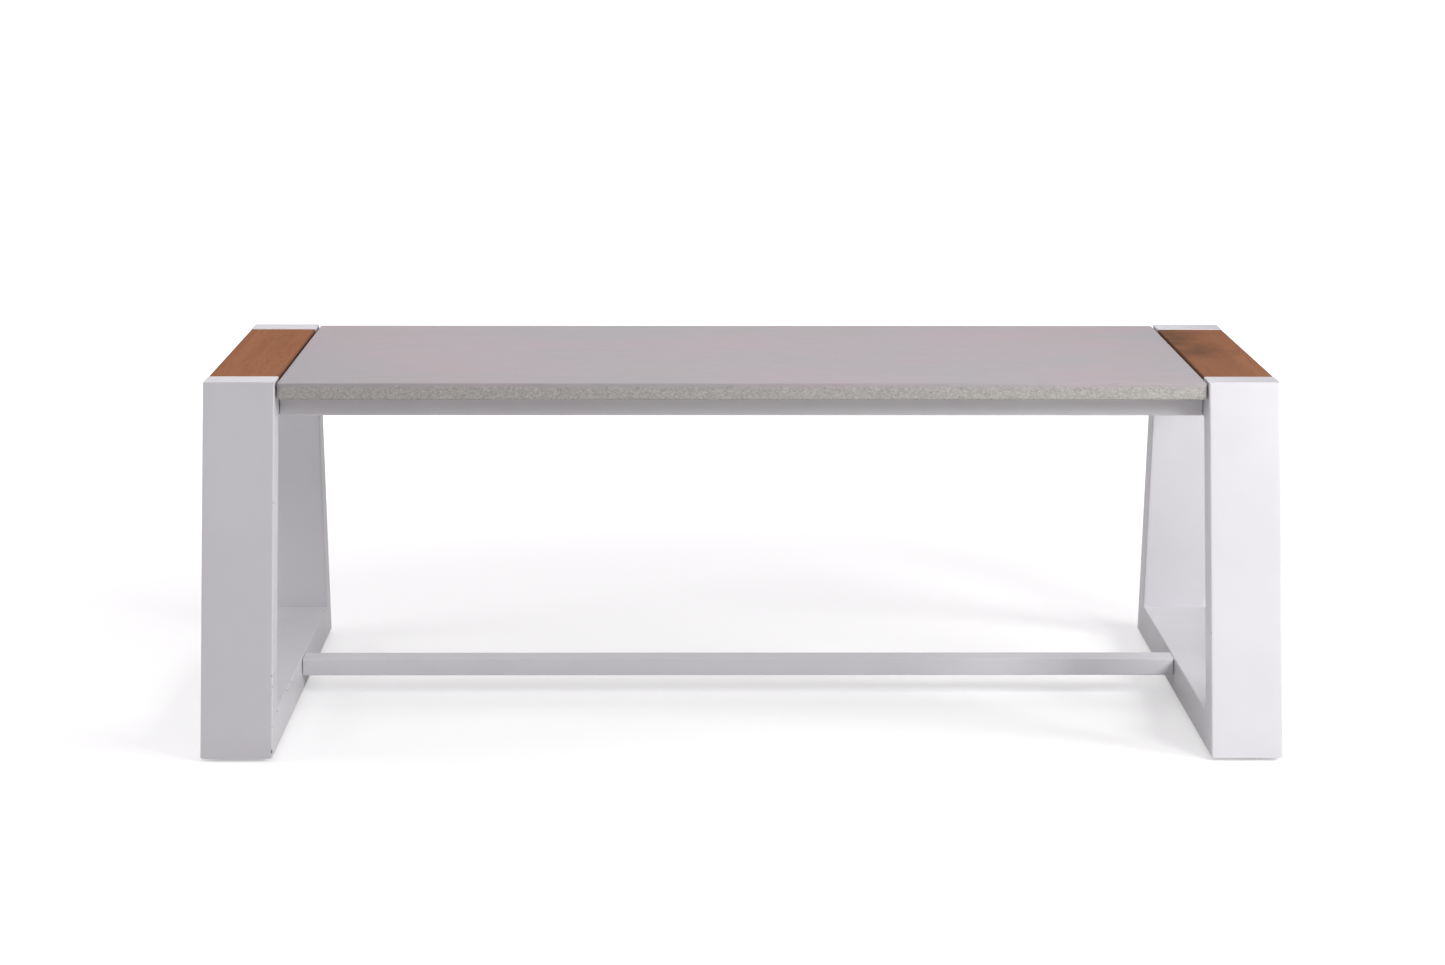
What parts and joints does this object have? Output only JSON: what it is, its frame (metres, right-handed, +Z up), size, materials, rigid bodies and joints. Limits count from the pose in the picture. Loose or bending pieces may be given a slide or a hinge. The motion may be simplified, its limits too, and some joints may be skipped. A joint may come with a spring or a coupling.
{
  "type": "garden bench",
  "caption": "Backless garden bench: stone seat slab between splayed box-section end frames with teak tops, on seat rails and a low stretcher.",
  "frame": {"origin": "on the floor, under the centre of the seat", "axes": "+X along the bench, towards the right-hand end frame as seen from the front; -Y is the front; +Z is up"},
  "size_m": [1.3136, 0.68, 0.45],
  "materials": {
    "frame_paint": "semi-gloss white paint, lightly chipped at the edges",
    "teak": "oiled, satin",
    "seat_stone": "honed top, rougher edges",
    "pad_rubber": "matte",
    "glide_nylon": "matte",
    "plug_plastic": "satin white",
    "zinc_steel": "zinc plated"
  },
  "bodies": {
    "root": {"back_seat_rail": "frame_paint", "back_seat_rail_left_block": "zinc_steel", "back_seat_rail_left_bolt": "zinc_steel", "back_seat_rail_left_plug": "plug_plastic", "back_seat_rail_right_block": "zinc_steel", "back_seat_rail_right_bolt": "zinc_steel", "back_seat_rail_right_plug": "plug_plastic", "front_seat_rail": "frame_paint", "front_seat_rail_left_block": "zinc_steel", "front_seat_rail_left_bolt": "zinc_steel", "front_seat_rail_left_plug": "plug_plastic", "front_seat_rail_right_block": "zinc_steel", "front_seat_rail_right_bolt": "zinc_steel", "front_seat_rail_right_plug": "plug_plastic", "left_back_glide": "glide_nylon", "left_back_leg": "frame_paint", "left_back_leg_cap": "frame_paint", "left_bottom_rail": "frame_paint", "left_cross_member": "frame_paint", "left_front_glide": "glide_nylon", "left_front_leg": "frame_paint", "left_front_leg_cap": "frame_paint", "left_teak_board": "teak", "left_teak_screw_back": "zinc_steel", "left_teak_screw_front": "zinc_steel", "left_teak_screw_middle": "zinc_steel", "left_top_rail": "frame_paint", "right_back_glide": "glide_nylon", "right_back_leg": "frame_paint", "right_back_leg_cap": "frame_paint", "right_bottom_rail": "frame_paint", "right_cross_member": "frame_paint", "right_front_glide": "glide_nylon", "right_front_leg": "frame_paint", "right_front_leg_cap": "frame_paint", "right_teak_board": "teak", "right_teak_screw_back": "zinc_steel", "right_teak_screw_front": "zinc_steel", "right_teak_screw_middle": "zinc_steel", "right_top_rail": "frame_paint", "seat_slab": "seat_stone", "slab_pad_back_left": "pad_rubber", "slab_pad_back_middle": "pad_rubber", "slab_pad_back_right": "pad_rubber", "slab_pad_front_left": "pad_rubber", "slab_pad_front_middle": "pad_rubber", "slab_pad_front_right": "pad_rubber", "stretcher": "frame_paint", "stretcher_left_block": "zinc_steel", "stretcher_left_bolt": "zinc_steel", "stretcher_left_plug": "plug_plastic", "stretcher_right_block": "zinc_steel", "stretcher_right_bolt": "zinc_steel", "stretcher_right_plug": "plug_plastic"}
  },
  "joints": []
}
